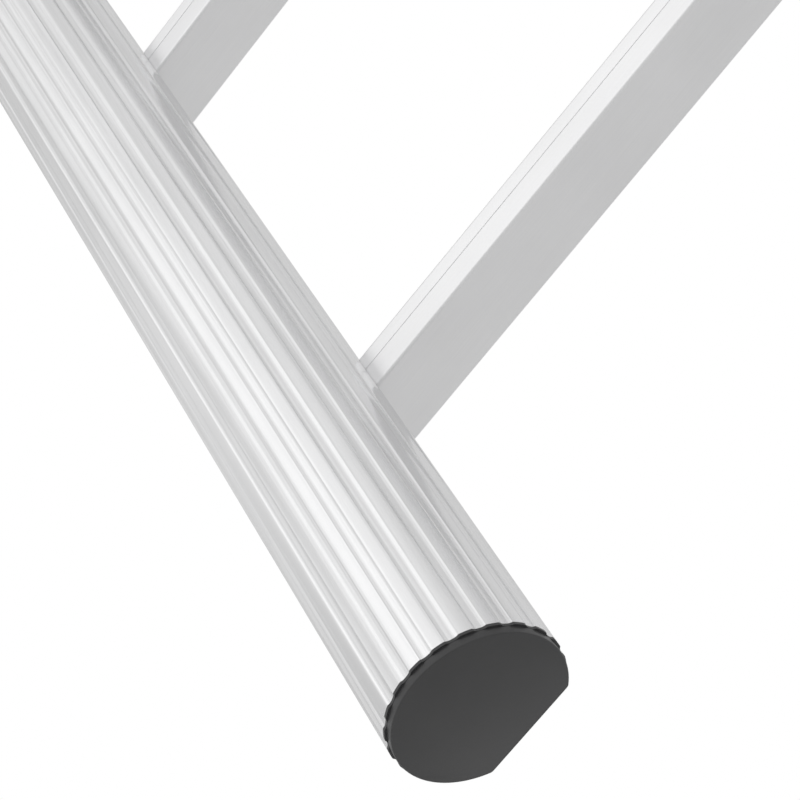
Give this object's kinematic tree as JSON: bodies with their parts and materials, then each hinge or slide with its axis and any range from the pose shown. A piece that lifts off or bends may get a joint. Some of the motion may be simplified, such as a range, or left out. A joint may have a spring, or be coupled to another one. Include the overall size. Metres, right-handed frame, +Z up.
{
  "type": "attic ladder",
  "caption": "Two-section sliding attic ladder with fluted D-shaped stiles, box rungs, black end caps, a swinging rung latch and a hinged hatch mount.",
  "frame": {"origin": "middle of the hatch plate's back face, the face that is screwed to the hatch frame", "axes": "+Z up along the hanging ladder, +Y into the hatch frame, away from the climber, +X to the climber's right"},
  "size_m": [0.568, 0.1764, 2.621],
  "materials": {
    "stile_aluminium": "satin, drawn and fluted lengthwise",
    "rung_aluminium": "satin mill finish",
    "saddle_steel": "zinc plated sheet",
    "cap_plastic": "matte black, moulded",
    "guide_nylon": "matte black glass-filled nylon",
    "glide_nylon": "natural nylon, semi-matte",
    "rivet_aluminium": "plain blind rivet",
    "latch_steel": "zinc plated",
    "mount_steel": "zinc plated sheet",
    "fastener_steel": "bright zinc plated",
    "bumper_rubber": "matte black"
  },
  "bodies": {
    "hatch_mount": {"hatch_plate": "mount_steel", "hatch_bracket_left": "mount_steel", "hatch_bracket_right": "mount_steel", "bracket_bolts": "fastener_steel", "pivot_bolt_left": "fastener_steel", "pivot_bolt_right": "fastener_steel", "pivot_spacers": "mount_steel", "pivot_washers": "fastener_steel", "pivot_nuts": "fastener_steel", "bumper_left": "bumper_rubber", "bumper_right": "bumper_rubber"},
    "upper_section": {"upper_stile_left": "stile_aluminium", "upper_stile_right": "stile_aluminium", "upper_rung_1": "rung_aluminium", "upper_rung_2": "rung_aluminium", "upper_rung_3": "rung_aluminium", "upper_rung_4": "rung_aluminium", "upper_rung_5": "rung_aluminium", "upper_rung_6": "rung_aluminium", "upper_guide_left": "guide_nylon", "upper_guide_right": "guide_nylon", "upper_rivets": "rivet_aluminium", "upper_rung_saddles": "saddle_steel", "upper_glide_block_left": "glide_nylon", "upper_glide_block_right": "glide_nylon", "upper_bottom_cap_left": "cap_plastic", "upper_top_cap_left": "cap_plastic", "upper_bottom_cap_right": "cap_plastic", "upper_top_cap_right": "cap_plastic", "pivot_bush_left": "mount_steel", "pivot_bush_right": "mount_steel", "latch_bracket_left": "latch_steel", "latch_bracket_right": "latch_steel", "latch_pin_left": "latch_steel", "latch_pin_right": "latch_steel", "latch_bracket_rivets": "rivet_aluminium"},
    "lower_section": {"lower_stile_left": "stile_aluminium", "lower_stile_right": "stile_aluminium", "lower_rung_1": "rung_aluminium", "lower_rung_2": "rung_aluminium", "lower_rung_3": "rung_aluminium", "lower_rung_4": "rung_aluminium", "lower_rung_5": "rung_aluminium", "lower_rung_6": "rung_aluminium", "lower_guide_left": "guide_nylon", "lower_guide_right": "guide_nylon", "lower_rivets": "rivet_aluminium", "lower_rung_saddles": "saddle_steel", "lower_glide_block_left": "glide_nylon", "lower_glide_block_right": "glide_nylon", "lower_top_cap_left": "cap_plastic", "lower_top_cap_right": "cap_plastic", "foot_cap_left": "cap_plastic", "foot_cap_right": "cap_plastic", "extension_stop_left": "glide_nylon", "extension_stop_right": "glide_nylon"},
    "rung_latch": {"latch_hook_left": "latch_steel", "latch_hook_right": "latch_steel", "latch_bar": "latch_steel", "latch_pull_eye": "latch_steel"}
  },
  "joints": [
    {"name": "hatch_swing", "type": "hinge", "parent": "hatch_mount", "child": "upper_section", "pos_m": [0, -0.045, 0.075], "axis": [1, 0, 0], "range_deg": [-92, 0]},
    {"name": "section_slide", "type": "slide", "parent": "upper_section", "child": "lower_section", "axis": [0, 0, 1], "range_m": [0, 1.036]},
    {"name": "latch_swing", "type": "hinge", "parent": "upper_section", "child": "rung_latch", "pos_m": [0, -0.0746, -1.2605], "axis": [1, 0, 0], "range_deg": [0, 105]}
  ]
}
